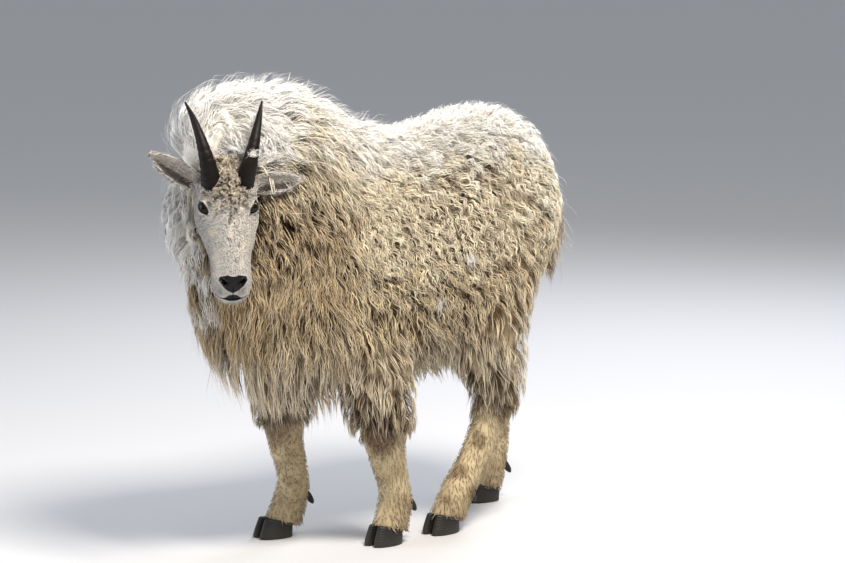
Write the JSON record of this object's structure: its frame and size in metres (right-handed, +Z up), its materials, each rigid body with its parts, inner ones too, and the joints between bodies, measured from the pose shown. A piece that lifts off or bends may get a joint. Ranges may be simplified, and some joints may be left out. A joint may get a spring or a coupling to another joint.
{
  "type": "mountain goat figure",
  "caption": "Life-size mountain goat standing in mid stride with a long cream coat, short dark horns and its head turned toward its left.",
  "frame": {"origin": "on the floor under the middle of the figure's bounding box", "axes": "+Z up, -Y the way the goat walks, +X to the goat's left"},
  "size_m": [0.4602, 1.1594, 1.0606],
  "materials": {
    "coat": "long cream hair in locks over woolly underfur",
    "horn": "black keratin with growth rings, worn smooth at the tips",
    "hoof": "black keratin, scuffed",
    "eye": "wet gloss"
  },
  "bodies": {
    "root": {"dewclaw_fore_left_inner": "hoof", "dewclaw_fore_left_outer": "hoof", "dewclaw_fore_right_inner": "hoof", "dewclaw_fore_right_outer": "hoof", "dewclaw_hind_left_inner": "hoof", "dewclaw_hind_left_outer": "hoof", "dewclaw_hind_right_inner": "hoof", "dewclaw_hind_right_outer": "hoof", "ear_left": "coat", "ear_right": "coat", "eye_left": "eye", "eye_right": "eye", "head": "coat", "horn_left": "horn", "horn_right": "horn", "lower_leg_fore_left": "coat", "lower_leg_fore_right": "coat", "lower_leg_hind_left": "coat", "lower_leg_hind_right": "coat", "neck": "coat", "tail": "coat", "toe_fore_left_inner": "hoof", "toe_fore_left_outer": "hoof", "toe_fore_right_inner": "hoof", "toe_fore_right_outer": "hoof", "toe_hind_left_inner": "hoof", "toe_hind_left_outer": "hoof", "toe_hind_right_inner": "hoof", "toe_hind_right_outer": "hoof", "torso": "coat", "upper_leg_fore_left": "coat", "upper_leg_fore_right": "coat", "upper_leg_hind_left": "coat", "upper_leg_hind_right": "coat"}
  },
  "joints": []
}
